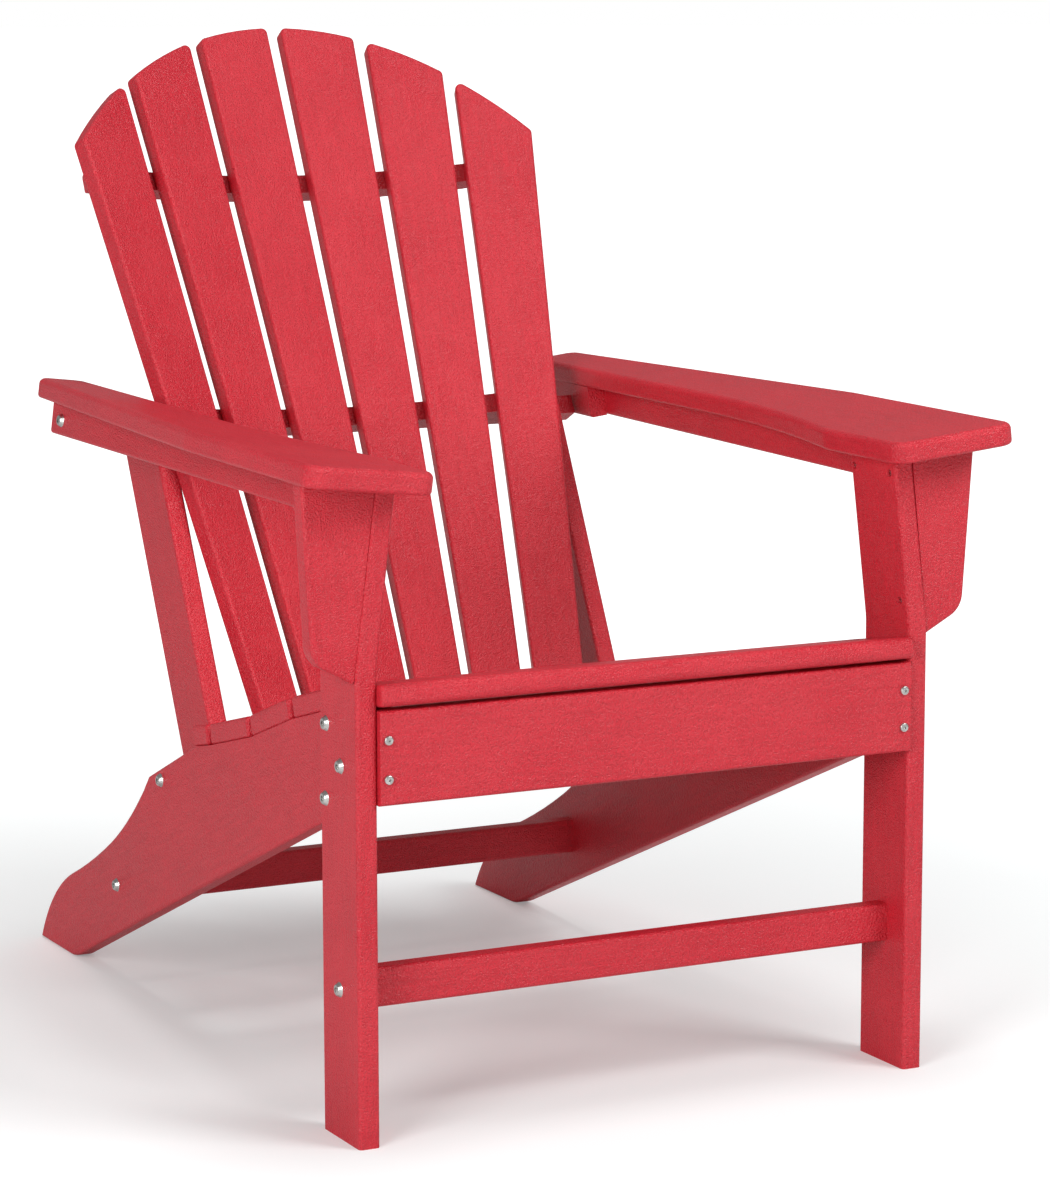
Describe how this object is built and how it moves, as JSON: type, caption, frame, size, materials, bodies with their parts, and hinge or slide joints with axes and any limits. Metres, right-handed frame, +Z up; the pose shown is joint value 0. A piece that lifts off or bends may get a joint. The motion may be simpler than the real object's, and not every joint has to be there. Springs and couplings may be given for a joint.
{
  "type": "adirondack chair",
  "caption": "Rigid garden chair with a fanned, arched slat back, a low sloping slat seat, wide flat arms, straight front legs and side rails that run back to the floor.",
  "frame": {"origin": "middle of the footprint on the ground, below the centre of the bounding box", "axes": "+Z up, -Y towards the front of the seat, +X towards the right-hand side seen from the front"},
  "size_m": [0.708, 0.9144, 0.9635],
  "materials": {
    "lumber": "satin red, fine pebbled grain",
    "steel": "bright stainless"
  },
  "bodies": {
    "root": {"apron": "lumber", "apron_screws": "steel", "arm_batten": "lumber", "arm_block_left": "lumber", "arm_block_right": "lumber", "arm_bracket_left": "lumber", "arm_bracket_right": "lumber", "arm_left": "lumber", "arm_rail_left": "lumber", "arm_rail_right": "lumber", "arm_right": "lumber", "back_slat_1": "lumber", "back_slat_2": "lumber", "back_slat_3": "lumber", "back_slat_4": "lumber", "back_slat_5": "lumber", "back_slat_6": "lumber", "bolts": "steel", "front_leg_left": "lumber", "front_leg_right": "lumber", "front_stretcher": "lumber", "leg_screws": "steel", "lower_batten": "lumber", "post_left": "lumber", "post_right": "lumber", "post_spacer_left": "lumber", "post_spacer_right": "lumber", "rear_stretcher": "lumber", "seat_slat_1": "lumber", "seat_slat_2": "lumber", "seat_slat_3": "lumber", "seat_slat_4": "lumber", "seat_slat_5": "lumber", "side_rail_left": "lumber", "side_rail_right": "lumber", "upper_batten": "lumber"}
  },
  "joints": []
}
